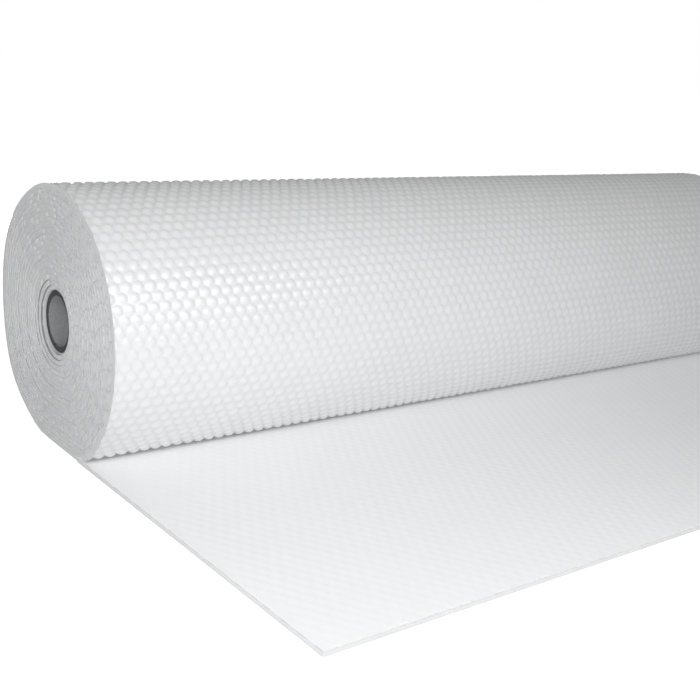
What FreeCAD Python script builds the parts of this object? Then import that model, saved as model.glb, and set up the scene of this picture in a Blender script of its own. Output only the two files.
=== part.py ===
"""Roll of bubble film on a paper core, lying on its side with its free end drawn out over the floor.

The frame: X runs along the roll, -Y is the side that the free end comes out of, and +Z is up.
The origin lies on the floor, under the middle of the core's axis. All sizes are in millimetres.

The film is one long strip. It starts on the core, winds round it turn on turn, comes down the back
of the roll, passes under it and leaves at the front as the free end. A place on the strip is given
in turns from its start, and the angle of that place is counted from straight down, by the front,
over the top and down the back.
"""
import FreeCAD
import Part
import math
import os

# The roll as a whole: the radius of its round part and how high the middle of that lies
ROLL_WIDTH = 1000.0
ROLL_RADIUS = 144.5
ROLL_CENTRE_HEIGHT = 121.0
TURNS = 19

# The paper core, which rides a little high in the soft roll and is shorter than the film is wide
CORE_HEIGHT = 127.0
CORE_BORE_RADIUS = 25.5
CORE_WALL = 6.0
CORE_RECESS = 5.5
CORE_CHAMFER = 0.8
CORE_CLEARANCE = 0.3

# The film: the air between two turns, its thickness where it lies free, and its first edge, which
# is pressed thin on the core and which the second turn steps over
TURN_GAP = 0.8
FILM_THICKNESS = 4.5
FIRST_EDGE_THICKNESS = 0.8
FIRST_EDGE_GAP = 2.0

# The rows of bubbles, which run along the roll and are pressed flat where they come near the floor
ROW_SPACING = 10.5
ROW_DEPTH = 2.4
ROW_FLANK = 3.2
PRESSED_BELOW = 8.0

# The soft outline: it bulges behind the top and is tucked in low at the back. Each is given by its
# height, the angle of its middle and the angle over which it fades out
SHOULDER_BULGE = 4.5
SHOULDER_ANGLE = 243.0
SHOULDER_FADE = 40.0
TUCK_DEPTH = 16.0
TUCK_ANGLE = 340.0
TUCK_FADE = 45.0

# How sharply the roll turns up from the floor: more is sharper
FLOOR_SHARPNESS = 60.0

# The flat spot and the free end, as distances behind or in front of the core's axis
FLAT_BACK = 20.0
TAIL_LEAVES = 60.0
FLAT_FRONT = 80.0
TAIL_FULL_THICKNESS = 96.0
TAIL_REACH = 472.0

# Angles between the arcs that each turn is made of, closest where the roll meets the floor
ARC_ANGLES = (0, 18, 28, 40, 75, 125, 180, 230, 275, 318, 341)
CLOSEST_ANGLES = 4.0
STRAIGHT_WITHIN = 0.15
MEETS_WITHIN = 0.0000001

CORE_RADIUS = CORE_BORE_RADIUS + CORE_WALL
HOLE_RADIUS = CORE_RADIUS + CORE_CLEARANCE


def fade(angle, middle, width):
    """1 at the middle, falling smoothly to 0 that many degrees to either side."""
    away = abs((angle - middle + 180.0) % 360.0 - 180.0)
    return math.cos(math.radians(90.0 * away / width)) ** 2 if away < width else 0.0


def full_reach(angle):
    """Distance from the core's axis to the outside of the full roll, at an angle."""
    turned = math.radians(angle)
    sunk = CORE_HEIGHT - ROLL_CENTRE_HEIGHT
    reach = sunk * math.cos(turned) + math.sqrt(ROLL_RADIUS ** 2 - (sunk * math.sin(turned)) ** 2)
    reach += SHOULDER_BULGE * fade(angle, SHOULDER_ANGLE, SHOULDER_FADE)
    reach -= TUCK_DEPTH * fade(angle, TUCK_ANGLE, TUCK_FADE)
    if math.cos(turned) > 0.0:
        floor = CORE_HEIGHT / math.cos(turned)
        reach *= (1.0 + (reach / floor) ** FLOOR_SHARPNESS) ** (-1.0 / FLOOR_SHARPNESS)
    return reach


def outer_reach(place):
    """Distance from the core's axis to the outer side of the strip, at a place."""
    first = HOLE_RADIUS + FIRST_EDGE_THICKNESS
    pitch = (full_reach(360.0 * (place % 1.0)) - first) / TURNS
    return first + pitch * place


def inner_reach(place):
    """Distance from the core's axis to the inner side of the strip, over the turn below it."""
    return outer_reach(place - 1.0) + TURN_GAP


def section_point(place, reach):
    """The point of the end section at a place and a distance from the core's axis."""
    turned = math.radians(360.0 * place)
    return FreeCAD.Vector(0.0, -reach * math.sin(turned), CORE_HEIGHT - reach * math.cos(turned))


def floor_point(front, height=0.0):
    """A point this far in front of the core's axis and this high above the floor."""
    return FreeCAD.Vector(0.0, -front, height)


def floor_turns(front):
    """The part of a turn from straight down to the floor that far in front of the axis."""
    return math.atan2(front, CORE_HEIGHT) / (2.0 * math.pi)


def edge_through(*points):
    """A straight edge through two points, or an arc through three that aren't in line."""
    start, end = points[0], points[-1]
    in_line = points[1].distanceToLine(start, end - start) < STRAIGHT_WITHIN
    curve = Part.LineSegment(start, end) if in_line else Part.Arc(*points)
    return curve.toShape()


def side_of_strip(reach_at, first, last):
    """One side of the strip from place to place, as points of arcs: start, middle and end."""
    every = [turn + angle / 360.0 for turn in range(int(first), int(last) + 1) for angle in ARC_ANGLES]
    apart = CLOSEST_ANGLES / 360.0
    ends = [first] + [place for place in every if first + apart < place < last - apart] + [last]
    stretches = [(start, 0.5 * (start + end), end) for start, end in zip(ends, ends[1:])]
    return [[section_point(place, reach_at(place)) for place in places] for places in stretches]


def bubble_rows(side, depth_at):
    """The rows on a stretch of the strip's outer side: each has a flank, a flat back and a flank."""
    path = Part.Wire([edge_through(*points) for points in side])
    count = round(path.Length / ROW_SPACING)
    edges = [side[0][0]] + path.discretize(Number=count + 1)[1:-1] + [side[-1][-1]]
    valleys = []
    for before, edge, after in zip(edges[:1] + edges, edges, edges[1:] + edges[-1:]):
        along = (after - before).normalize()
        valleys.append(edge + FreeCAD.Vector(0.0, along.z, -along.y) * depth_at(edge))
    rows = []
    for start, end, low_start, low_end in zip(edges, edges[1:], valleys, valleys[1:]):
        flank = (end - start).normalize() * ROW_FLANK
        rows += [[low_start, start + flank], [start + flank, end - flank], [end - flank, low_end]]
    return rows


def skin_depth(point):
    """Depth between the rows of the last turn, which fade where the roll's weight presses them."""
    return ROW_DEPTH * min(1.0, point.z / PRESSED_BELOW)


def tail_depth(point):
    """Depth between the rows under the free end."""
    return ROW_DEPTH


def joined(stretches):
    """Closed wire along the stretches in order, with straight edges where one doesn't meet the next."""
    edges = []
    for points, following in zip(stretches, stretches[1:] + stretches[:1]):
        edges.append(edge_through(*points))
        if not points[-1].isEqual(following[0], MEETS_WITHIN):
            edges.append(edge_through(points[-1], following[0]))
    return Part.Wire(edges)


def film_section():
    """The outline of the strip as it shows at the end of the roll."""
    crease = TURNS - 1.0 + floor_turns(FLAT_FRONT)
    step = 1.0 - FIRST_EDGE_GAP / (2.0 * math.pi * HOLE_RADIUS)
    covered = side_of_strip(outer_reach, 0.0, crease)
    skin = side_of_strip(outer_reach, crease, TURNS - floor_turns(FLAT_BACK))
    skin[-1][-1] = floor_point(-FLAT_BACK)
    flat = [floor_point(-FLAT_BACK), floor_point(FLAT_FRONT)]
    under = [floor_point(FLAT_FRONT), floor_point(TAIL_REACH)]
    over = [floor_point(TAIL_REACH, FILM_THICKNESS), floor_point(TAIL_FULL_THICKNESS, FILM_THICKNESS)]
    inside = side_of_strip(inner_reach, step, TURNS + floor_turns(TAIL_LEAVES))
    hole = [section_point(place, HOLE_RADIUS) for place in (step, 0.5 * step, 0.0)]
    outward = covered + bubble_rows(skin, skin_depth) + [flat] + bubble_rows([under], tail_depth)
    back = [over] + [points[::-1] for points in reversed(inside)] + [hole]
    return joined(outward + back)


def film():
    """The film as one solid: its section, drawn out to the roll's width."""
    section = Part.Face(film_section())
    section.translate(FreeCAD.Vector(-0.5 * ROLL_WIDTH, 0.0, 0.0))
    return section.extrude(FreeCAD.Vector(ROLL_WIDTH, 0.0, 0.0))


def core():
    """The paper tube, with its edges taken off where it was cut to length."""
    length = ROLL_WIDTH - 2.0 * CORE_RECESS
    start = FreeCAD.Vector(-0.5 * length, 0.0, CORE_HEIGHT)
    along = FreeCAD.Vector(1.0, 0.0, 0.0)
    outside = Part.makeCylinder(CORE_RADIUS, length, start, along)
    tube = outside.cut(Part.makeCylinder(CORE_BORE_RADIUS, length, start, along))
    rims = [edge for edge in tube.Edges if isinstance(edge.Curve, Part.Circle)]
    return tube.makeChamfer(CORE_CHAMFER, rims)


def main():
    """Write each piece to its own file."""
    os.makedirs("parts", exist_ok=True)
    for name, make in (("paper_core", core), ("bubble_film", film)):
        piece = make()
        print(name, "valid" if piece.isValid() else "not valid", "volume", round(piece.Volume))
        piece.exportStep("parts/" + name + ".step")


main()
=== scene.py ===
"""Roll of bubble film on a paper core, lying on its side with its free end drawn out over the floor.

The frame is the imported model's: X runs along the roll, -Y is the side that the free end comes out
of, +Z is up, and all sizes are in metres. The film is one long strip that starts on the core, winds
round it, comes down the back, passes under the roll and leaves at the front. A place on the strip
is given in turns from its start, and its angle is counted from straight down, by the front, over
the top and down the back.
"""
import enum
import logging
import math
from dataclasses import dataclass, field

import bpy
import numpy as np
from mathutils import Matrix, Vector


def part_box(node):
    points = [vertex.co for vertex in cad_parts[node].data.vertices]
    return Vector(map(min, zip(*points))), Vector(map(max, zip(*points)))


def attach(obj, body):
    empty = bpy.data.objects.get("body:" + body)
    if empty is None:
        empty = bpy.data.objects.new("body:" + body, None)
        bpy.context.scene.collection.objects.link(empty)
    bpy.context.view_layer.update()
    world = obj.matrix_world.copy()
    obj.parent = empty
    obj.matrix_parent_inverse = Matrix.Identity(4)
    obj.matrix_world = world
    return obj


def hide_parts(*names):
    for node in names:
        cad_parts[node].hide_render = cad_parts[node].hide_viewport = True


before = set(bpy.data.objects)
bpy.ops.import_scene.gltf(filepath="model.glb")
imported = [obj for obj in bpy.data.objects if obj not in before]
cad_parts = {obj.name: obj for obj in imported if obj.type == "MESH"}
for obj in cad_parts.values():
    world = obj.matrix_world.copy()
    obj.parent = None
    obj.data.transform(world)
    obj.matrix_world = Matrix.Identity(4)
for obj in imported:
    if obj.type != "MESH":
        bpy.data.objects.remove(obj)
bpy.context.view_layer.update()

FULL_TURN = 2.0 * math.pi
WHITE = (1.0, 1.0, 1.0, 1.0)

# Numbers of points that a line across the roll and the whole wound strip are measured at.
PATH_POINTS = 2400
STRIP_POINTS = 9000

# Corners of a cell's outline, and of the finer rings of a bubble inside it.
CELL_SIDES = 6
FINE_RING = 12

# How fine the grid is on which corners merge, in steps to the metre, how high a rise of 1 counts
# when a triangle's area is reckoned, and the least area, doubled, that is kept.
MERGE_STEPS = 2.0e5
RISE_IN_METRES = 0.004
LEAST_AREA = 1e-9

# How far a cool grey leans in red, green and blue, and how strongly film bends light.
COOL_LEAN = (-1.0, -0.35, 0.5)
FILM_IOR = 1.5

# Where the mix node has its factor and its two colours, and where the mixed colour comes out.
MIX_INPUTS = (0, 6, 7)
MIX_OUTPUT = 2

# The air round the core, and how far under its crowns the outer turn's rim is closed, as a part
# of the bubbles' height.
CORE_CLEARANCE = 0.0003
RIM_OPENING = 0.15

# Corners, triangles and the rise at each corner, and corners and triangles alone.
Skin = tuple[np.ndarray, np.ndarray, np.ndarray]
Cells = tuple[np.ndarray, np.ndarray]

log = logging.getLogger("bubble_film_roll")


# Small helpers


def mesh_object(
    name: str, vertices: np.ndarray, triangles: np.ndarray, smooth: bool = True
) -> bpy.types.Object:
    """Make a mesh object from arrays of corners and triangles.

    Args:
        name: The piece's name.
        vertices: Corners, one row of x, y and z each.
        triangles: Three corner numbers a row.
        smooth: Whether its faces are shaded as one round surface.

    Returns:
        The new object, linked to the scene.
    """
    mesh = bpy.data.meshes.new(name)
    mesh.vertices.add(len(vertices))
    mesh.vertices.foreach_set("co", np.ascontiguousarray(vertices, dtype=np.float32).ravel())
    mesh.loops.add(triangles.size)
    mesh.loops.foreach_set("vertex_index", np.ascontiguousarray(triangles, dtype=np.int32).ravel())
    mesh.polygons.add(len(triangles))
    mesh.polygons.foreach_set("loop_start", np.arange(0, triangles.size, 3, dtype=np.int32))
    mesh.polygons.foreach_set("use_smooth", np.full(len(triangles), smooth))
    mesh.update(calc_edges=True)
    mesh.validate()
    piece = bpy.data.objects.new(name, mesh)
    bpy.context.scene.collection.objects.link(piece)
    return piece


def even_shading(piece: bpy.types.Object, outward: np.ndarray, share: float) -> None:
    """Turn a mesh's shading part of the way to that of the smooth surface it lies on.

    Args:
        piece: The mesh object.
        outward: The smooth surface's direction at each corner.
        share: How far the shading is turned.
    """
    own = np.empty(3 * len(outward), dtype=np.float32)
    piece.data.vertex_normals.foreach_get("vector", own)
    own = own.reshape(-1, 3)
    own *= np.where(np.sum(own * outward, axis=1) < 0.0, -1.0, 1.0)[:, None]
    mixed = (1.0 - share) * own + share * outward
    mixed /= np.linalg.norm(mixed, axis=1)[:, None]
    piece.data.normals_split_custom_set_from_vertices(mixed)


def write_attribute(piece: bpy.types.Object, name: str, values: np.ndarray) -> None:
    """Store one number at each corner of a mesh, for its material to read."""
    layer = piece.data.attributes.new(name, "FLOAT", "POINT")
    layer.data.foreach_set("value", np.ascontiguousarray(values, dtype=np.float32))


def ribbon(rows: int, columns: int) -> np.ndarray:
    """Triangles of a grid of corners that are numbered row by row.

    Args:
        rows: How many rows of corners there are.
        columns: How many corners a row has.

    Returns:
        The triangles, three corner numbers a row.
    """
    corner = (np.arange(rows - 1)[:, None] * columns + np.arange(columns - 1)[None, :]).ravel()
    first = np.stack([corner, corner + 1, corner + columns + 1], axis=1)
    second = np.stack([corner, corner + columns + 1, corner + columns], axis=1)
    return np.concatenate([first, second])


def join_parts(parts: list[Skin]) -> Skin:
    """Join several parts of a skin into one.

    Args:
        parts: The parts.

    Returns:
        The whole skin.
    """
    vertices, triangles, rises = zip(*parts)
    starts = np.cumsum([0] + [len(corners) for corners in vertices[:-1]])
    moved = [corners + start for corners, start in zip(triangles, starts)]
    return np.concatenate(vertices), np.concatenate(moved), np.concatenate(rises)


# The strip's form


@dataclass(frozen=True)
class Swell:
    """A place where the roll bulges out or draws in.

    Attributes:
        height: How far out it comes, or in where it is under 0.
        middle: Where it is, in degrees.
        width: How many degrees away it has gone.
    """

    height: float
    middle: float
    width: float

    def at(self, angle: np.ndarray) -> np.ndarray:
        """How far out it comes at some angles.

        Args:
            angle: Angles in degrees.

        Returns:
            The way out at each angle.
        """
        away = np.abs((angle - self.middle + 180.0) % 360.0 - 180.0)
        share = np.cos(np.radians(90.0 * away / self.width)) ** 2
        return self.height * np.where(away < self.width, share, 0.0)


@dataclass(frozen=True)
class StripForm:
    """How the strip of film lies: wound round the core, pressed by the floor, drawn out in front.

    Attributes:
        core_height: Height of the core's axis above the floor.
        hole_radius: Radius of the hole that the core sits in.
        half_width: Half of the film's width.
        tail_reach: How far in front of the axis the free end stops.
        roll_radius: Radius of the round that the roll would have without its own weight.
        centre_height: Height of that round's centre.
        turns: How many turns are wound.
        first_edge: How far outside the hole the strip's outer side starts.
        turn_gap: The air between one turn and the next.
        swells: The shoulder at the back and the tuck over the crease.
        floor_sharpness: How sharply the roll turns up off the floor.
        flat_back: How far behind the axis the last turn meets the floor.
        flat_front: How far in front of the axis the last turn comes out at the crease.
        thickness: Thickness of the strip with its bubbles.
    """

    core_height: float
    hole_radius: float
    half_width: float
    tail_reach: float
    roll_radius: float = 0.1445
    centre_height: float = 0.121
    turns: int = 19
    first_edge: float = 0.0008
    turn_gap: float = 0.0008
    swells: tuple[Swell, ...] = (Swell(0.0045, 243.0, 40.0), Swell(-0.016, 340.0, 45.0))
    floor_sharpness: float = 60.0
    flat_back: float = 0.020
    flat_front: float = 0.080
    thickness: float = 0.0045

    def full_reach(self, angle: np.ndarray) -> np.ndarray:
        """Distance from the core's axis to the outside of the roll.

        Args:
            angle: Angles in degrees.

        Returns:
            The distance at each angle.
        """
        turned = np.radians(angle)
        sunk = self.core_height - self.centre_height
        reach = sunk * np.cos(turned) + np.sqrt(self.roll_radius ** 2 - (sunk * np.sin(turned)) ** 2)
        for swell in self.swells:
            reach = reach + swell.at(angle)
        down = np.maximum(np.cos(turned), 0.0)
        power = self.floor_sharpness
        pressed = (1.0 + (reach * down / self.core_height) ** power) ** (-1.0 / power)
        return reach * pressed

    def outer_reach(self, place: np.ndarray) -> np.ndarray:
        """Distance from the axis to the outer side of the strip, at places in turns."""
        first = self.hole_radius + self.first_edge
        return first + (self.full_reach(360.0 * (place % 1.0)) - first) * place / self.turns

    def inner_reach(self, place: np.ndarray) -> np.ndarray:
        """Distance from the axis to the inner side of the strip, at places in turns."""
        return np.maximum(self.outer_reach(place - 1.0) + self.turn_gap, self.hole_radius)

    def section(self, place: np.ndarray, reach: np.ndarray) -> np.ndarray:
        """The y and z of points at places in turns and distances from the axis."""
        turned = FULL_TURN * place
        return np.stack([-reach * np.sin(turned), self.core_height - reach * np.cos(turned)], axis=-1)

    def floor_turns(self, front: float) -> float:
        """The part of a turn from straight down to the floor that far in front of the axis."""
        return math.atan2(front, self.core_height) / FULL_TURN

    @property
    def crease(self) -> float:
        """The place at which the roll's last turn comes out from under the free end."""
        return self.turns - 1.0 + self.floor_turns(self.flat_front)

    @property
    def landing(self) -> float:
        """The place at which the last turn meets the floor at the back."""
        return self.turns - self.floor_turns(self.flat_back)


class SheetPath:
    """A line across the roll that a sheet follows while it runs along X.

    Attributes:
        points: The line's points, y and z.
        distances: How far along the line each point lies.
        outward: The direction at each point in which the bubbles stand.
    """

    def __init__(self, points: np.ndarray) -> None:
        """Measure a line.

        Args:
            points: The points that it runs through, y and z.
        """
        steps = np.linalg.norm(np.diff(points, axis=0), axis=1)
        self.points = points
        self.distances = np.concatenate([[0.0], np.cumsum(steps)])
        along = np.gradient(points, self.distances, axis=0)
        along /= np.linalg.norm(along, axis=1)[:, None]
        self.outward = np.stack([-along[:, 1], along[:, 0]], axis=1)

    @property
    def length(self) -> float:
        """The line's whole length."""
        return float(self.distances[-1])

    def between(self, distance: np.ndarray, pairs: np.ndarray) -> np.ndarray:
        """Pairs of numbers known at the line's points, read at distances along it."""
        read = [np.interp(distance, self.distances, pairs[:, axis]) for axis in range(2)]
        return np.stack(read, axis=-1)

    def facing(self, distance: np.ndarray) -> np.ndarray:
        """The direction in which the bubbles stand, at distances along the line."""
        return self.between(distance, self.outward)

    def at(self, distance: np.ndarray, lift: np.ndarray) -> np.ndarray:
        """The y and z of points at distances along the line, lifted outward off it."""
        return self.between(distance, self.points) + lift[:, None] * self.facing(distance)


# The bubbles


@dataclass(frozen=True)
class DomeShape:
    """The form of one bubble, as rings of corners from its crown down to the film.

    Attributes:
        ring_corners: How many corners each ring has, from the crown outward.
        ring_radii: Each ring's radius, as a part of the bubble's.
        ring_rises: Each ring's height, as a part of the bubble's.
    """

    ring_corners: tuple[int, ...] = (6, 12, 12)
    ring_radii: tuple[float, ...] = (0.44, 0.80, 1.08)
    ring_rises: tuple[float, ...] = (0.92, 0.50, 0.0)


SOFT_DOME = DomeShape()
PLAIN_DOME = DomeShape((6, 6), (0.62, 1.0), (0.88, 0.0))


@dataclass(frozen=True)
class BubbleLattice:
    """Bubbles in close-packed rows that run along the roll, each in its own six-sided cell.

    Attributes:
        pitch: Distance between neighbours in a row.
        spacing: Distance between rows.
        radius: A bubble's radius.
        wander: How far a bubble may lie off its place.
        slack: How much lower than the rest a bubble may be, as a part of its height.
        last_column: How far into its last column a row has to reach, as a part of the pitch.
    """

    pitch: float = 0.0121212
    spacing: float = 0.0105
    radius: float = 0.0052
    wander: float = 0.00025
    slack: float = 0.22
    last_column: float = 0.51

    def cell(self, dome: DomeShape) -> Cells:
        """One cell, about its middle.

        Args:
            dome: The bubble's form.

        Returns:
            Its corners as x, distance along the strip and rise, and its triangles.
        """
        corners = [(0.0, 0.0, 1.0)]
        rings = []
        for count, radius, rise in zip(dome.ring_corners, dome.ring_radii, dome.ring_rises):
            rings.append(len(corners) + np.arange(count))
            offset = 0.0 if count == FINE_RING else FULL_TURN / FINE_RING
            turned = [offset + FULL_TURN * step / count for step in range(count)]
            reach = radius * self.radius
            corners += [(reach * math.cos(t), reach * math.sin(t), rise) for t in turned]
        rings.append(len(corners) + np.arange(CELL_SIDES))
        reach = self.pitch / math.sqrt(3.0)
        stretch = self.spacing / (self.pitch * math.sqrt(0.75))
        for step in range(CELL_SIDES):
            turned = FULL_TURN * (step + 0.5) / CELL_SIDES
            corners.append((reach * math.cos(turned), reach * math.sin(turned) * stretch, 0.0))
        crown = rings[0]
        triangles = [(0, near, far) for near, far in zip(crown, np.roll(crown, -1))]
        for inner, outer in zip(rings, rings[1:]):
            triangles += self.between(list(inner), list(outer))
        return np.array(corners), np.array(triangles)

    @staticmethod
    def between(inner: list[int], outer: list[int]) -> list[tuple[int, int, int]]:
        """Triangles between two rings, which have the same number of corners or 6 and 12.

        Args:
            inner: Corner numbers of the inner ring.
            outer: Corner numbers of the outer ring.

        Returns:
            The triangles, all turned the same way.
        """
        made = []
        if len(inner) == len(outer):
            for step in range(len(inner)):
                after = (step + 1) % len(inner)
                made.append((inner[step], outer[step], outer[after]))
                made.append((inner[step], outer[after], inner[after]))
            return made
        widening = len(outer) == FINE_RING
        coarse, fine = (inner, outer) if widening else (outer, inner)
        for step in range(CELL_SIDES):
            this, after = coarse[step], coarse[(step + 1) % CELL_SIDES]
            near, mid, far = (fine[(2 * step + more) % FINE_RING] for more in range(3))
            fan = [(this, near, mid), (this, mid, far), (this, far, after)]
            made += fan if widening else [(a, c, b) for a, b, c in fan]
        return made

    def field(
        self, rows: range, across: float, dome: DomeShape, chance: np.random.Generator,
        depth: float | None = None,
    ) -> Cells:
        """A field of cells, trimmed at both edges of the film.

        Args:
            rows: Which rows of the strip, counted from its start.
            across: The film's width, or how deep a part of it is made.
            dome: The bubbles' form.
            chance: The seeded source of each bubble's small differences.
            depth: Where only an edge strip is made, its depth from the film's edge.

        Returns:
            Corners as x from the edge, distance along the strip and rise, and the triangles.
        """
        corners, triangles = self.cell(dome)
        columns = int(across / self.pitch + self.last_column) + 1
        row = np.repeat(np.array(rows), columns)
        column = np.tile(np.arange(columns), len(rows))
        middle_x = (column + 0.5 * (row % 2)) * self.pitch
        middle_s = (row + 0.5) * self.spacing
        count = len(row)
        grown = np.repeat(corners[None, :, :], count, axis=0)
        inside = slice(0, len(corners) - CELL_SIDES)
        drift = chance.uniform(-self.wander, self.wander, (count, 1, 2))
        grown[:, inside, 0:2] += drift
        grown[:, inside, 2] *= 1.0 - self.slack * chance.random((count, 1)) ** 3
        grown[:, :, 0] += middle_x[:, None]
        grown[:, :, 1] += middle_s[:, None]
        starts = (np.arange(count) * len(corners))[:, None, None]
        faces = (triangles[None, :, :] + starts).reshape(-1, 3)
        points = grown.reshape(-1, 3)
        limit = across if depth is None else depth
        points[:, 0] = np.clip(points[:, 0], 0.0, limit)
        points, faces = self.welded(points, faces)
        x = points[faces, 0]
        beyond = np.all(x <= 0.0, axis=1) | np.all(x >= limit, axis=1)
        return points, faces[~beyond]

    def trimmed(self, points: np.ndarray, faces: np.ndarray, rows: int) -> Cells:
        """Cut a field straight across at both ends of its rows.

        Args:
            points: Corners as x, distance along the strip and rise.
            faces: Triangles between them.
            rows: How many rows are kept, counted from the strip's start.

        Returns:
            The moved corners and the triangles that are left.
        """
        end = rows * self.spacing
        along = points[:, 1]
        gone = np.all(along[faces] >= end, axis=1) | np.all(along[faces] <= 0.0, axis=1)
        points[:, 1] = np.clip(along, 0.0, end)
        return points, faces[~gone]

    @staticmethod
    def welded(points: np.ndarray, faces: np.ndarray) -> Cells:
        """Merge corners that lie on each other and drop the triangles that have no area.

        Args:
            points: Corners, some of them more than once.
            faces: Triangles between them.

        Returns:
            The merged corners and the triangles that are left.
        """
        keys = np.round(points * MERGE_STEPS).astype(np.int64)
        _, kept, number = np.unique(keys, axis=0, return_index=True, return_inverse=True)
        faces = number.reshape(-1)[faces]
        a, b, c = faces.T
        whole = (a != b) & (b != c) & (c != a)
        merged = points[kept]
        scale = (1.0, 1.0, RISE_IN_METRES)
        sides = [(merged[end] - merged[a]) * scale for end in (b, c)]
        size = np.linalg.norm(np.cross(*sides), axis=1)
        return merged, faces[whole & (size > LEAST_AREA)]


# Finishes


class Nodes:
    """A material's or a group's node tree, with short ways to add to it."""

    def __init__(self, tree: bpy.types.NodeTree) -> None:
        """Work on a node tree."""
        self.tree = tree

    def add(self, kind: str, **values: object) -> bpy.types.Node:
        """Add a node and set its properties and unlinked inputs.

        Args:
            kind: The node's type, without its ShaderNode prefix.
            values: Properties by their names, and inputs by theirs with _ for a space.

        Returns:
            The node.
        """
        node = self.tree.nodes.new("ShaderNode" + kind)
        for name, value in values.items():
            if hasattr(node, name):
                setattr(node, name, value)
            else:
                self.put(node.inputs[name.replace("_", " ")], value)
        return node

    def put(self, socket: bpy.types.NodeSocket, value: object) -> None:
        """Link a socket to another, or set its value.

        Args:
            socket: The input.
            value: The output to link it to, or a plain value.
        """
        if isinstance(value, bpy.types.NodeSocket):
            self.tree.links.new(value, socket)
        else:
            socket.default_value = value

    def fill(self, node: bpy.types.Node, values: dict[str, object]) -> None:
        """Link or set several of a node's inputs, by their names."""
        for name, value in values.items():
            self.put(node.inputs[name], value)

    def math(self, operation: str, *values: object) -> bpy.types.NodeSocket:
        """A sum on numbers or sockets.

        Args:
            operation: The sum's name, as Blender has it.
            values: Its terms in order.

        Returns:
            The result's socket.
        """
        node = self.add("Math", operation=operation)
        for socket, value in zip(node.inputs, values):
            self.put(socket, value)
        return node.outputs[0]

    def mix(self, factor: object, first: object, second: object) -> bpy.types.NodeSocket:
        """Mix two colours.

        Args:
            factor: How much of the second there is.
            first: The first colour.
            second: The second colour.

        Returns:
            The mixed colour's socket.
        """
        node = self.add("Mix", data_type="RGBA")
        for number, value in zip(MIX_INPUTS, (factor, first, second)):
            self.put(node.inputs[number], value)
        return node.outputs[MIX_OUTPUT]

    def scaled(self, colour: object, factor: object) -> bpy.types.NodeSocket:
        """A colour with all its parts times a number.

        Args:
            colour: The colour.
            factor: The number.

        Returns:
            The new colour's socket.
        """
        node = self.add("VectorMath", operation="SCALE")
        self.put(node.inputs[0], colour)
        self.put(node.inputs["Scale"], factor)
        return node.outputs[0]

    def span(
        self, value: object, low: float, high: float, to_low: float, to_high: float
    ) -> bpy.types.NodeSocket:
        """Map a value from one span to another, held at both ends.

        Args:
            value: The number or socket to map.
            low: The first span's lower end.
            high: The first span's upper end.
            to_low: What the lower end becomes.
            to_high: What the upper end becomes.

        Returns:
            The mapped value's socket.
        """
        node = self.add("MapRange")
        for socket, number in zip(node.inputs, (value, low, high, to_low, to_high)):
            self.put(socket, number)
        return node.outputs[0]


def new_material(name: str) -> tuple[bpy.types.Material, Nodes, bpy.types.Node]:
    """Start a material.

    Args:
        name: Its name.

    Returns:
        The material, its nodes and the shader among them.
    """
    made = bpy.data.materials.new(name)
    made.use_nodes = True
    return made, Nodes(made.node_tree), made.node_tree.nodes["Principled BSDF"]


def tone(grey: float, cool: float = 0.0) -> tuple[float, ...]:
    """A grey colour that may lean a little to blue."""
    return *(grey * (1.0 + lean * cool) for lean in COOL_LEAN), 1.0


class Cloudiness:
    """The effect that every face of the film shares: milky clouds, light crowns and fine creasing.

    Attributes:
        NAME: The shader node group's name.
        ROUGHENING: How much rougher the film is where it is cloudy.
    """

    NAME = "film_cloudiness"
    ROUGHENING = 0.12

    @classmethod
    def group(cls) -> bpy.types.NodeTree:
        """The shader node group, built once.

        Returns:
            The group.
        """
        made = bpy.data.node_groups.get(cls.NAME)
        if made:
            return made
        tree = bpy.data.node_groups.new(cls.NAME, "ShaderNodeTree")
        face = tree.interface
        for name, kind, value in (
            ("Rise", "Float", 0.0),
            ("Deep Tone", "Color", tone(0.7)),
            ("Light Tone", "Color", tone(0.9)),
            ("Cloud Scale", "Float", 9.0),
            ("Cloud Depth", "Float", 0.06),
            ("Gloss", "Float", 0.25),
            ("Crease Scale", "Float", 300.0),
        ):
            socket = face.new_socket(name, in_out="INPUT", socket_type="NodeSocket" + kind)
            socket.default_value = value
        for name, kind in (("Color", "Color"), ("Roughness", "Float"), ("Height", "Float")):
            face.new_socket(name, in_out="OUTPUT", socket_type="NodeSocket" + kind)
        nodes = Nodes(tree)
        given = tree.nodes.new("NodeGroupInput").outputs
        place = nodes.add("TexCoord").outputs["Object"]
        cloud_noise = {"Vector": place, "Detail": 3.0, "Roughness": 0.55}
        clouds = nodes.add("TexNoise", Scale=given["Cloud Scale"], **cloud_noise).outputs[0]
        crease_noise = {"Vector": place, "Detail": 4.0, "Roughness": 0.6}
        creases = nodes.add("TexNoise", Scale=given["Crease Scale"], **crease_noise).outputs[0]
        film = nodes.mix(given["Rise"], given["Deep Tone"], given["Light Tone"])
        shade = nodes.math("SUBTRACT", 1.0, nodes.math("MULTIPLY", given["Cloud Depth"], clouds))
        rough = nodes.math("ADD", given["Gloss"], nodes.math("MULTIPLY", cls.ROUGHENING, clouds))
        colour = nodes.scaled(film, shade)
        given_back = {"Color": colour, "Roughness": rough, "Height": creases}
        nodes.fill(tree.nodes.new("NodeGroupOutput"), given_back)
        return tree


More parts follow.
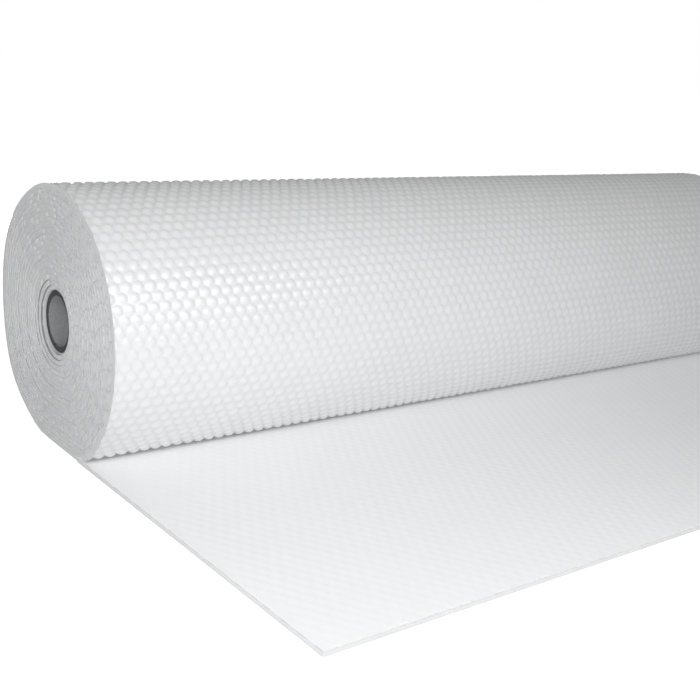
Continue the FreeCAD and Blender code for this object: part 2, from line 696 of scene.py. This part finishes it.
@dataclass(frozen=True)
class FilmFinish:
    """Clear film in so many turns that it looks milky.

    Attributes:
        name: The material's name.
        deep: Colour of the film between the bubbles.
        light: Colour at the bubbles' crowns.
        gloss: Roughness of the film, before its small changes.
        crease_scale: How fine its creasing is.
        crease_strength: How much the creasing turns the light.
        crease_height: How high the creases stand.
        cloud_depth: How much the clouds dim it.
        glow: How strongly the film glows in its own colour, painted light that stands in for light
            coming through from the turns behind.
        shine: How strongly the film mirrors the lamps.
    """

    name: str
    deep: tuple[float, ...] = tone(0.82, 0.010)
    light: tuple[float, ...] = tone(0.85, 0.010)
    gloss: float = 0.15
    crease_scale: float = 260.0
    crease_strength: float = 0.12
    crease_height: float = 0.0006
    cloud_depth: float = 0.06
    glow: float = 0.09
    shine: float = 0.65

    def material(self) -> bpy.types.Material:
        """The finish as a material.

        Returns:
            The material.
        """
        made = bpy.data.materials.get(self.name)
        if made:
            return made
        made, nodes, shader = new_material(self.name)
        rise = nodes.add("Attribute", attribute_name="rise").outputs["Fac"]
        effect = made.node_tree.nodes.new("ShaderNodeGroup")
        effect.node_tree = Cloudiness.group()
        nodes.fill(effect, {
            "Rise": rise,
            "Deep Tone": self.deep,
            "Light Tone": self.light,
            "Cloud Depth": self.cloud_depth,
            "Gloss": self.gloss,
            "Crease Scale": self.crease_scale,
        })
        bump = nodes.add("Bump", Strength=self.crease_strength, Distance=self.crease_height)
        nodes.put(bump.inputs["Height"], effect.outputs["Height"])
        nodes.fill(shader, {
            "Base Color": effect.outputs["Color"],
            "Roughness": effect.outputs["Roughness"],
            "Normal": bump.outputs[0],
            # Painted light: the film glows in its own colour, though it is no lamp.
            "Emission Color": effect.outputs["Color"],
            "Emission Strength": self.glow,
            "IOR": FILM_IOR,
            "Specular IOR Level": self.shine,
        })
        return made


@dataclass(frozen=True)
class PaperFinish:
    """Grey board wound in a long spiral, with its plies showing where it is cut.

    Attributes:
        name: The material's name.
        face: Colour of the board's faces.
        cut: Colour of its cut ends, partly the board's own darker edge and partly painted shade.
        seam_lead: How far along the tube one turn of the seam goes.
        seam_width: Width of the seam, as a part of that.
        ply: Thickness of one ply.
        ply_line: Width of the dark line between two plies, as a part of a ply.
        fibre_scale: How fine the fibres are.
        fleck_scale: How close together the flecks lie.
        tint_scale: How fast the board's tint changes.
        marks: How much the seam, the flecks and the tint change its shade.
        relief: How strongly the fibres turn the light, and how high they stand.
        fleck_span: Distances from a fleck's middle, and how strong it is at them.
        fibre_span: The fibres' noise, and the board's shade for it.
        gloss_span: The same noise, and the board's roughness for it.
        cut_span: How far a face looks along the tube, and how much of a cut end it is.
        line_shade: Shade of the dark line between two plies.
    """

    name: str = "grey_board"
    face: tuple[float, ...] = tone(0.46, 0.03)
    # Painted shade in part: the cut ends are far darker than the board's faces.
    cut: tuple[float, ...] = tone(0.075, 0.03)
    seam_lead: float = 0.115
    seam_width: float = 0.012
    ply: float = 0.0008
    ply_line: float = 0.12
    fibre_scale: float = 420.0
    fleck_scale: float = 160.0
    tint_scale: float = 2.0
    marks: tuple[float, float, float] = (0.35, 0.12, 0.1)
    relief: tuple[float, float] = (0.35, 0.0004)
    fleck_span: tuple[float, ...] = (0.05, 0.22, 1.0, 0.0)
    fibre_span: tuple[float, ...] = (0.3, 0.7, 0.84, 1.14)
    gloss_span: tuple[float, ...] = (0.2, 0.8, 0.72, 0.9)
    cut_span: tuple[float, ...] = (0.35, 0.75, 0.0, 1.0)
    line_shade: float = 0.6

    def material(self, axis_height: float) -> bpy.types.Material:
        """The finish as a material for a tube along X.

        Args:
            axis_height: Height of the tube's axis.

        Returns:
            The material.
        """
        made, nodes, shader = new_material(self.name)
        place = nodes.add("TexCoord").outputs["Object"]
        x, y, z = nodes.add("SeparateXYZ", Vector=place).outputs
        height = nodes.math("SUBTRACT", z, axis_height)
        turned = nodes.math("DIVIDE", nodes.math("ARCTAN2", height, y), FULL_TURN)
        wound = nodes.math("FRACT", nodes.math("ADD", nodes.math("DIVIDE", x, self.seam_lead), turned))
        off_seam = nodes.math("ABSOLUTE", nodes.math("SUBTRACT", wound, 0.5))
        seam = nodes.span(off_seam, 0.0, self.seam_width, 1.0, 0.0)
        tint = nodes.add("TexNoise", Vector=place, Scale=self.tint_scale, Detail=0.0).outputs[0]
        fibre_noise = {"Scale": self.fibre_scale, "Detail": 5.0, "Roughness": 0.65}
        fibres = nodes.add("TexNoise", Vector=place, **fibre_noise).outputs[0]
        flecks = nodes.add("TexVoronoi", Vector=place, Scale=self.fleck_scale)
        fleck = nodes.span(flecks.outputs["Distance"], *self.fleck_span)
        shade = nodes.span(fibres, *self.fibre_span)
        changes = zip(("SUBTRACT", "SUBTRACT", "ADD"), self.marks, (seam, fleck, tint))
        for operation, strength, mark in changes:
            shade = nodes.math(operation, shade, nodes.math("MULTIPLY", strength, mark))
        squares = [nodes.math("MULTIPLY", side, side) for side in (y, height)]
        reach = nodes.math("SQRT", nodes.math("ADD", *squares))
        plies = nodes.math("PINGPONG", reach, 0.5 * self.ply)
        line = nodes.span(plies, 0.0, self.ply_line * self.ply, self.line_shade, 1.0)
        normal = nodes.add("NewGeometry").outputs["Normal"]
        endwise = nodes.math("ABSOLUTE", nodes.add("SeparateXYZ", Vector=normal).outputs[0])
        cut = nodes.span(endwise, *self.cut_span)
        darker = nodes.math("MULTIPLY", cut, nodes.math("SUBTRACT", line, 1.0))
        shade = nodes.math("MULTIPLY", shade, nodes.math("ADD", darker, 1.0))
        strength, distance = self.relief
        bump = nodes.add("Bump", Strength=strength, Distance=distance)
        nodes.put(bump.inputs["Height"], nodes.math("SUBTRACT", fibres, seam))
        nodes.fill(shader, {
            # Painted shade in part: the cut ends take a far darker colour than the faces.
            "Base Color": nodes.scaled(nodes.mix(cut, self.face, self.cut), shade),
            "Roughness": nodes.span(fibres, *self.gloss_span),
            "Normal": bump.outputs[0],
        })
        return made


@dataclass(frozen=True)
class FloorFinish:
    """A white sweep that reads as the white behind it, and still takes a soft shadow.

    Attributes:
        name: The material's name.
        light: The sweep's own colour.
        glow: How much of its white the camera sees without any light on it.
        grain_scale: How fine its grain is.
        gloss: Its lowest and highest roughness.
        shine: How strongly it mirrors the lamps.
    """

    name: str = "white_sweep"
    light: tuple[float, ...] = tone(0.82)
    glow: float = 0.80
    grain_scale: float = 6.0
    gloss: tuple[float, float] = (0.85, 0.95)
    shine: float = 0.1

    def material(self) -> bpy.types.Material:
        """The finish as a material.

        Returns:
            The material.
        """
        made, nodes, shader = new_material(self.name)
        place = nodes.add("TexCoord").outputs["Object"]
        grain = nodes.add("TexNoise", Vector=place, Scale=self.grain_scale, Detail=2.0)
        seen = nodes.add("LightPath").outputs["Is Camera Ray"]
        nodes.fill(shader, {
            "Base Color": self.light,
            "Roughness": nodes.span(grain.outputs[0], 0.0, 1.0, *self.gloss),
            "Specular IOR Level": self.shine,
            "Emission Color": WHITE,
            "Emission Strength": nodes.math("MULTIPLY", seen, self.glow),
        })
        return made


# The pieces


class Side(enum.Enum):
    """The two ends of the roll, by the sign of X, and the two halves of the free end."""

    NEAR = -1
    FAR = 1


def dress(piece: bpy.types.Object, material: bpy.types.Material) -> bpy.types.Object:
    """Put a piece of film on the roll's body in place of its plain solid.

    Args:
        piece: The mesh object.
        material: Its finish.

    Returns:
        The piece.
    """
    piece.data.materials.append(material)
    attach(piece, "root")
    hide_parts("bubble_film")
    log.info("%s: %d triangles", piece.name, len(piece.data.polygons))
    return piece


@dataclass
class OuterTurn:
    """The last turn of the film, with its bubbles outward, from the crease over the top to the floor.

    Attributes:
        form: How the strip lies.
        lattice: The bubbles' pattern.
        dome_height: How far the bubbles stand off the film.
        pressed_below: Height above the floor under which the roll's weight presses them.
        least_height: How far they stand off it where they are pressed flat.
        milkiness: How far the light inside the film evens out the shading of the bubbles.
        row_stops: Where one piece ends and the next starts, as parts of all the rows.
        names: The pieces' names, from the front to the back.
        seed: The seed of the bubbles' small differences.
        finish: Its finish.
    """

    form: StripForm
    lattice: BubbleLattice = field(default_factory=BubbleLattice)
    dome_height: float = 0.0024
    pressed_below: float = 0.008
    least_height: float = 0.0003
    milkiness: float = 0.55
    row_stops: tuple[float, ...] = (0.0, 0.34, 0.67, 1.0)
    names: tuple[str, ...] = ("outer_turn_front", "outer_turn_top", "outer_turn_back")
    seed: int = 11
    finish: FilmFinish = FilmFinish("bubble_side")

    def path(self) -> SheetPath:
        """The line of the bubbles' crowns, from the crease over the top to the landing."""
        place = np.linspace(self.form.crease, self.form.landing, PATH_POINTS)
        return SheetPath(self.form.section(place, self.form.outer_reach(place)))

    def height_at(self, z: np.ndarray) -> np.ndarray:
        """How high the bubbles stand where their crowns lie at a height above the floor."""
        free = np.clip(z / self.pressed_below, 0.0, 1.0)
        return np.maximum(self.dome_height * free, self.least_height)

    def build(self, setback: float) -> list[bpy.types.Object]:
        """Make the pieces of the outer turn.

        Args:
            setback: How far its edges lie inside the film's full width.

        Returns:
            The pieces, from the front to the back.
        """
        path = self.path()
        rows = round(path.length / self.lattice.spacing)
        stretch = path.length / (rows * self.lattice.spacing)
        stops = [round(stop * rows) for stop in self.row_stops]
        width = 2.0 * self.form.half_width
        chance = np.random.default_rng(self.seed)
        made = []
        for name, first, last in zip(self.names, stops, stops[1:]):
            points, faces = self.lattice.field(range(first, last), width, SOFT_DOME, chance)
            distance = np.clip(points[:, 1] * stretch, 0.0, path.length)
            level = path.at(distance, np.zeros(len(distance)))[:, 1]
            lift = (points[:, 2] - 1.0) * self.height_at(level)
            x = (points[:, 0] / width - 0.5) * (width - 2.0 * setback)
            vertices = np.column_stack([x, path.at(distance, lift)])
            piece = mesh_object(name, vertices, faces)
            outward = np.column_stack([np.zeros(len(x)), path.facing(distance)])
            even_shading(piece, outward, self.milkiness)
            write_attribute(piece, "rise", points[:, 2])
            made.append(dress(piece, self.finish.material()))
        return made


@dataclass
class FreeEnd:
    """The free end of the film, drawn out over the floor with its smooth side up.

    Attributes:
        form: How the strip lies.
        lattice: The bubbles' pattern.
        starts: How far in front of the core's axis it starts, under the roll.
        lid_rise: How far each bubble's lid stands off the smooth side.
        film: Thickness of the smooth film.
        seal: How far the thin walls that close its edges stand off them.
        wall_rise: The rise that the walls' colour is taken for.
        seed: The seed of the bubbles' small differences.
        over: Finish of the smooth film, a lighter copy of the bubble side's that paints in the
            stronger light on the free end.
        under: Finish of the bubbles.
    """

    form: StripForm
    lattice: BubbleLattice = field(default_factory=BubbleLattice)
    starts: float = 0.058
    lid_rise: float = 0.00018
    film: float = 0.0003
    seal: float = 0.0001
    wall_rise: float = 0.5
    seed: int = 23
    # Painted light: the smooth side is a lighter copy of the film, for the stronger light on the free
    # end.
    over: FilmFinish = FilmFinish(
        "smooth_side_lit", tone(0.95, 0.010), tone(0.96, 0.010), gloss=0.3, crease_scale=90.0,
        crease_strength=0.05, cloud_depth=0.03, shine=0.5,
    )
    under: FilmFinish = FilmFinish("bubble_side")

    def build(self) -> list[bpy.types.Object]:
        """Make the bubbles and the smooth film over them.

        Returns:
            The pieces.
        """
        made = [self.bubbles(Side.NEAR), self.bubbles(Side.FAR)]
        made.append(self.smooth_film())
        return made

    def rows(self) -> tuple[int, float]:
        """How the rows fill the free end.

        Returns:
            How many there are, and how much wider than usual they lie.
        """
        length = self.form.tail_reach - self.starts
        rows = round(length / self.lattice.spacing)
        return rows, length / (rows * self.lattice.spacing)

    def cells(self, taken: range, dome: DomeShape, seed: int) -> Cells:
        """Some rows of cells, cut straight across at the ends of the film.

        Args:
            taken: Which rows.
            dome: The bubbles' form.
            seed: The seed of their small differences.

        Returns:
            Corners as x from the edge, distance along the strip and rise, and the triangles.
        """
        width = 2.0 * self.form.half_width
        points, faces = self.lattice.field(taken, width, dome, np.random.default_rng(seed))
        return self.lattice.trimmed(points, faces, self.rows()[0])

    def laid(self, points: np.ndarray, z: np.ndarray) -> np.ndarray:
        """The cells' corners in the scene, at given heights."""
        y = -self.starts - self.rows()[1] * points[:, 1]
        return np.column_stack([points[:, 0] - self.form.half_width, y, z])

    def bubbles(self, half: Side) -> bpy.types.Object:
        """The bubbles under one half of the free end: the rows near the roll, or the rest.

        Args:
            half: NEAR for the rows near the roll, FAR for the others.

        Returns:
            The piece.
        """
        rows, stretch = self.rows()
        middle = rows // 2
        split = self.starts + middle * self.lattice.spacing * stretch
        if half is Side.NEAR:
            name, taken = "free_end_bubbles_roll", range(0, middle)
            walls = self.walls(self.starts, split, closed=False)
        else:
            name, taken = "free_end_bubbles_edge", range(middle, rows + 1)
            walls = self.walls(split, self.form.tail_reach + self.seal, closed=True)
        points, faces = self.cells(taken, SOFT_DOME, self.seed + half.value)
        rise = points[:, 2]
        vertices = self.laid(points, (self.form.thickness - self.film) * (1.0 - rise))
        vertices, faces, rise = join_parts([(vertices, faces, rise), walls])
        piece = mesh_object(name, vertices, faces)
        write_attribute(piece, "rise", rise)
        return dress(piece, self.under.material())

    def walls(self, start: float, stop: float, closed: bool) -> Skin:
        """The thin walls that close the film's edges.

        Args:
            start: How far in front of the axis they start.
            stop: How far in front of the axis they stop.
            closed: Whether they also run across the end of the film.

        Returns:
            The walls as a skin.
        """
        side = self.form.half_width + self.seal
        top = self.form.thickness - self.lid_rise - self.seal
        runs = [((-side, -start), (-side, -stop)), ((side, -stop), (side, -start))]
        if closed:
            runs.append(((-side, -stop), (side, -stop)))
        vertices = np.array([(x, y, z) for run in runs for x, y in run for z in (0.0, top)])
        triangles = np.concatenate([ribbon(2, 2) + 4 * number for number in range(len(runs))])
        return vertices, triangles, np.full(len(vertices), self.wall_rise)

    def smooth_film(self) -> bpy.types.Object:
        """The smooth film over the bubbles, with each bubble's lid just showing.


        Returns:
            The piece.
        """
        rows, stretch = self.rows()
        points, faces = self.cells(range(rows + 1), PLAIN_DOME, self.seed)
        rise = points[:, 2]
        vertices = self.laid(points, self.form.thickness - self.lid_rise * (1.0 - rise))
        piece = mesh_object("free_end_film", vertices, faces[:, ::-1])
        write_attribute(piece, "rise", rise)
        dress(piece, self.over.material())
        return piece


@dataclass
class RollEnd:
    """One end of the roll: the cut edges of all its turns, a little uneven and set back at the rim.

    Attributes:
        form: How the strip lies.
        side: Which end it is.
        depth: How deep the cut bubbles are made.
        backing: How deep the face behind them lies.
        hole_depth: How deep the wall of the hole round the core is made.
        share: How far inward bubbles are laid out, as a part of the pitch.
        film: Thickness of the film under the bubbles.
        least_rise: How far the cut bubbles stand off it at least.
        band_rise: The rise that the bands' colour is taken for.
        rim_setback: How far the last turn's edge lies behind the middle ones.
        rim_from: The turn, as a part of them all, from which the edges draw back.
        rim_calm: How late towards the rim the edges turn even, as a power.
        dish_depth: How far the first turn's edge lies behind the middle ones.
        dish_turns: How many turns the dish round the core takes in.
        uneven: How far the edges of the turns lie apart.
        waves: How often in a turn the edges go in and out, in two waves.
        turn_points: Points of a band to the turn.
        last_points: Points of the last turn's band.
        ending: How far in front of the axis the band under the last turn stops, and its points.
        seed: The seed of the bubbles' small differences.
        finish: Its finish, a darker copy of the film's that paints in the shade on the roll's ends.
    """

    form: StripForm
    side: Side
    lattice: BubbleLattice = field(default_factory=BubbleLattice)
    depth: float = 0.0009
    backing: float = 0.0011
    hole_depth: float = 0.030
    share: float = 0.55
    film: float = 0.0004
    least_rise: float = 0.0001
    band_rise: float = 0.35
    rim_setback: float = 0.0015
    rim_from: float = 0.62
    rim_calm: int = 6
    dish_depth: float = 0.0055
    dish_turns: float = 3.5
    uneven: float = 0.0006
    waves: tuple[float, float] = (0.37, 1.13)
    turn_points: int = 72
    last_points: int = 84
    ending: tuple[float, int] = (0.06, 8)
    seed: int = 37
    # Painted shade: the cut edges are a darker copy of the film, for the shade on the roll's ends,
    # between the turns.
    finish: FilmFinish = FilmFinish(
        "cut_edges_shaded", tone(0.77, 0.010), tone(0.79, 0.010), gloss=0.5, shine=0.4
    )

    def setback(self, place: np.ndarray) -> np.ndarray:
        """How far the strip's edge lies inside the film's full width.

        Args:
            place: Places in turns.

        Returns:
            The setback at each place.
        """
        out = np.clip((place / self.form.turns - self.rim_from) / (1.0 - self.rim_from), 0.0, 1.0)
        phase = self.seed + self.side.value
        slow, fast = (FULL_TURN * place * rate for rate in self.waves)
        wave = np.sin(slow + phase) * np.sin(fast + 2.0 * phase)
        calm = 1.0 - out ** self.rim_calm
        dish = self.dish_depth * np.clip(1.0 - place / self.dish_turns, 0.0, 1.0) ** 2
        return dish + self.rim_setback * out ** 2 + self.uneven * (1.0 + wave) * 0.5 * calm

    def across(self, place: np.ndarray, depth: np.ndarray) -> np.ndarray:
        """X at places on the strip and depths from its edge."""
        return self.side.value * (self.form.half_width - self.setback(place) - depth)

    def turned(self, triangles: np.ndarray) -> np.ndarray:
        """Triangles that face out of the roll on this side."""
        return triangles if self.side is Side.NEAR else triangles[:, ::-1]

    def bubbles(self) -> Skin:
        """The bubbles along the edge of every covered turn, cut through where the edge meets them.

        Returns:
            The bubbles as a skin.
        """
        form = self.form
        place = np.linspace(0.0, form.crease, STRIP_POINTS)
        path = SheetPath(form.section(place, form.outer_reach(place)))
        rows = range(int(path.length / self.lattice.spacing))
        across = self.share * self.lattice.pitch
        chance = np.random.default_rng(self.seed + self.side.value)
        points, faces = self.lattice.field(rows, across, PLAIN_DOME, chance, self.depth)
        at = np.interp(points[:, 1], path.distances, place)
        low = form.inner_reach(at) + self.film
        reach = low + points[:, 2] * np.maximum(form.outer_reach(at) - low, self.least_rise)
        vertices = np.column_stack([self.across(at, points[:, 0]), form.section(at, reach)])
        return vertices, self.turned(faces), points[:, 2]

    def band(self, place: np.ndarray, *rails: tuple[np.ndarray, float]) -> Skin:
        """A band that follows the strip through some rails.

        Args:
            place: Places along the strip.
            rails: The reach and the depth of each rail, in order.

        Returns:
            The band as a skin.
        """
        sheets = []
        for reach, depth in rails:
            x = self.across(place, np.full(len(place), depth))
            sheets.append(np.column_stack([x, self.form.section(place, reach)]))
        vertices = np.stack(sheets, axis=1).reshape(-1, 3)
        triangles = self.turned(ribbon(len(place), len(rails)))
        return vertices, triangles, np.full(len(vertices), self.band_rise)

    def lip(self, place: np.ndarray, low: np.ndarray, high: np.ndarray) -> Skin:
        """A band out from the backing to a turn's cut edge, and over that edge."""
        return self.band(place, (low, self.backing), (low, 0.0), (high, 0.0))

    def build(self, opening: float) -> bpy.types.Object:
        """Make this end.

        Args:
            opening: How far under the outer turn's crowns its rim is closed.

        Returns:
            The piece.
        """
        form = self.form
        covered = np.linspace(0.0, form.crease, round(form.crease * self.turn_points))
        low = form.inner_reach(covered)
        above = form.inner_reach(covered + 1.0)
        last = np.linspace(form.crease, form.landing, self.last_points)
        inside = form.inner_reach(last)
        rim = np.maximum(form.outer_reach(last) - opening, inside + self.film)
        front, count = self.ending
        under = np.linspace(form.landing, form.turns + form.floor_turns(front), count)
        first = np.linspace(0.0, 1.0, self.turn_points + 1)
        hole = np.full(len(first), form.hole_radius)
        parts = [
            self.bubbles(),
            self.lip(covered, low, low + self.film),
            self.lip(last, inside, rim),
            self.lip(under, form.inner_reach(under), form.outer_reach(under)),
            self.band(first, (hole, self.hole_depth), (hole, 0.0)),
            self.band(covered, (low, self.backing), (above, self.backing)),
        ]
        vertices, triangles, rise = join_parts(parts)
        name = "roll_end_near" if self.side is Side.NEAR else "roll_end_far"
        piece = mesh_object(name, vertices, triangles, smooth=False)
        write_attribute(piece, "rise", rise)
        return dress(piece, self.finish.material())


@dataclass
class PaperCore:
    """The paper tube in the middle of the roll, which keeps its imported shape.

    Attributes:
        axis_height: Height of its axis.
        finish: Its board.
    """

    axis_height: float
    finish: PaperFinish = PaperFinish()

    def build(self) -> None:
        """Dress the tube in board."""
        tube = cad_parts["paper_core"]
        tube.data.materials.clear()
        tube.data.materials.append(self.finish.material(self.axis_height))
        log.info("%s: dressed in %s", tube.name, self.finish.name)


# The studio


@dataclass
class Lamp:
    """A soft square lamp.

    Attributes:
        name: Its name.
        place: Where it hangs.
        aim: What it points at.
        size: The length of its side.
        watts: How strong it is.
    """

    name: str
    place: tuple[float, float, float]
    aim: tuple[float, float, float]
    size: float
    watts: float

    def hang(self) -> None:
        """Add the lamp to the scene."""
        light = bpy.data.lights.new(self.name, "AREA")
        light.shape = "SQUARE"
        light.size = self.size
        light.energy = self.watts
        lamp = bpy.data.objects.new(self.name, light)
        lamp.location = self.place
        way = Vector(self.aim) - Vector(self.place)
        lamp.rotation_euler = way.to_track_quat("-Z", "Y").to_euler()
        bpy.context.scene.collection.objects.link(lamp)


@dataclass
class Studio:
    """A white sweep, plain soft light and the camera.

    Attributes:
        camera_place: Where the camera stands.
        camera_right: The direction that lies to its right.
        camera_up: Its up direction.
        lens: Its focal length in millimetres.
        sensor: Width of its sensor in millimetres.
        sight: How far it sees.
        surround: How bright the room is for everything but the camera.
        floor_half: Half the floor's width.
        floor_height: Where the floor lies, a little below the roll's lowest faces.
        floor: Its finish.
        lamps: The soft lamps.
    """

    camera_place: tuple[float, float, float] = (-0.89529, -0.98998, 0.39077)
    camera_right: tuple[float, float, float] = (0.7988249, -0.59838474, 0.0617615)
    camera_up: tuple[float, float, float] = (0.10686652, 0.24219492, 0.9643242)
    lens: float = 55.252
    sensor: float = 36.0
    sight: float = 200.0
    surround: float = 0.28
    floor_half: float = 30.0
    floor_height: float = -0.0005
    floor: FloorFinish = FloorFinish()
    lamps: tuple[Lamp, ...] = (
        Lamp("key_lamp", (-0.55, -0.95, 0.66), (-0.42, -0.1, 0.15), 0.30, 1.8),
        Lamp("left_key_lamp", (-0.95, -0.75, 0.66), (-0.45, -0.1, 0.15), 0.30, 1.4),
        Lamp("tail_lamp", (-0.24, -0.92, 0.55), (-0.20, -0.38, 0.0), 0.40, 2.0),
        Lamp("end_lamp", (-1.70, -0.55, 0.40), (-0.50, 0.0, 0.10), 0.60, 1.1),
        Lamp("left_lamp", (-1.00, -0.50, 0.20), (-0.50, -0.1, 0.10), 0.25, 0.8),
        Lamp("back_lamp", (0.00, 1.50, 0.14), (0.00, 0.1, 0.13), 0.26, 4.0),
    )

    def build(self) -> None:
        """Set up the camera, the light and the floor."""
        self.set_camera()
        self.set_world()
        for lamp in self.lamps:
            lamp.hang()
        self.lay_floor()

    def set_camera(self) -> None:
        """Put the camera at the photograph's viewing angle."""
        right, up = Vector(self.camera_right), Vector(self.camera_up)
        back = right.cross(up)
        turn = Matrix((right, up, back)).transposed()
        data = bpy.data.cameras.new("camera")
        data.lens = self.lens
        data.sensor_width = self.sensor
        data.clip_end = self.sight
        camera = bpy.data.objects.new("camera", data)
        camera.matrix_world = Matrix.Translation(self.camera_place) @ turn.to_4x4()
        bpy.context.scene.collection.objects.link(camera)
        bpy.context.scene.camera = camera
        bpy.context.scene.view_settings.view_transform = "Standard"

    def set_world(self) -> None:
        """White for the camera, and an even grey light for the rest."""
        world = bpy.data.worlds.new("room")
        world.use_nodes = True
        nodes = Nodes(world.node_tree)
        seen = nodes.add("LightPath").outputs["Is Camera Ray"]
        strength = nodes.span(seen, 0.0, 1.0, self.surround, 1.0)
        nodes.fill(world.node_tree.nodes["Background"], {"Color": WHITE, "Strength": strength})
        bpy.context.scene.world = world

    def lay_floor(self) -> None:
        """Lay the white floor."""
        ways = ((-1.0, -1.0), (1.0, -1.0), (1.0, 1.0), (-1.0, 1.0))
        corners = [(self.floor_half * x, self.floor_half * y, self.floor_height) for x, y in ways]
        floor = mesh_object("studio_floor", np.array(corners), np.array([(0, 1, 2), (0, 2, 3)]))
        floor.data.materials.append(self.floor.material())


def main() -> None:
    """Build the roll from its core outward, and the studio round it."""
    logging.basicConfig(level=logging.INFO, format="%(message)s")
    Studio().build()
    core_low, core_high = (Vector(corner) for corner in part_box("paper_core"))
    film_low, film_high = (Vector(corner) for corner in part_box("bubble_film"))
    axis = 0.5 * (core_low.z + core_high.z)
    form = StripForm(
        core_height=axis,
        hole_radius=0.5 * (core_high.z - core_low.z) + CORE_CLEARANCE,
        half_width=film_high.x,
        tail_reach=-film_low.y,
    )
    PaperCore(axis).build()
    ends = [RollEnd(form, side) for side in Side]
    rim = float(ends[0].setback(np.array([float(form.turns)]))[0])
    turn = OuterTurn(form)
    turn.build(rim)
    for end in ends:
        end.build(RIM_OPENING * turn.dome_height)
    FreeEnd(form).build()


if __name__ == "__main__":
    main()
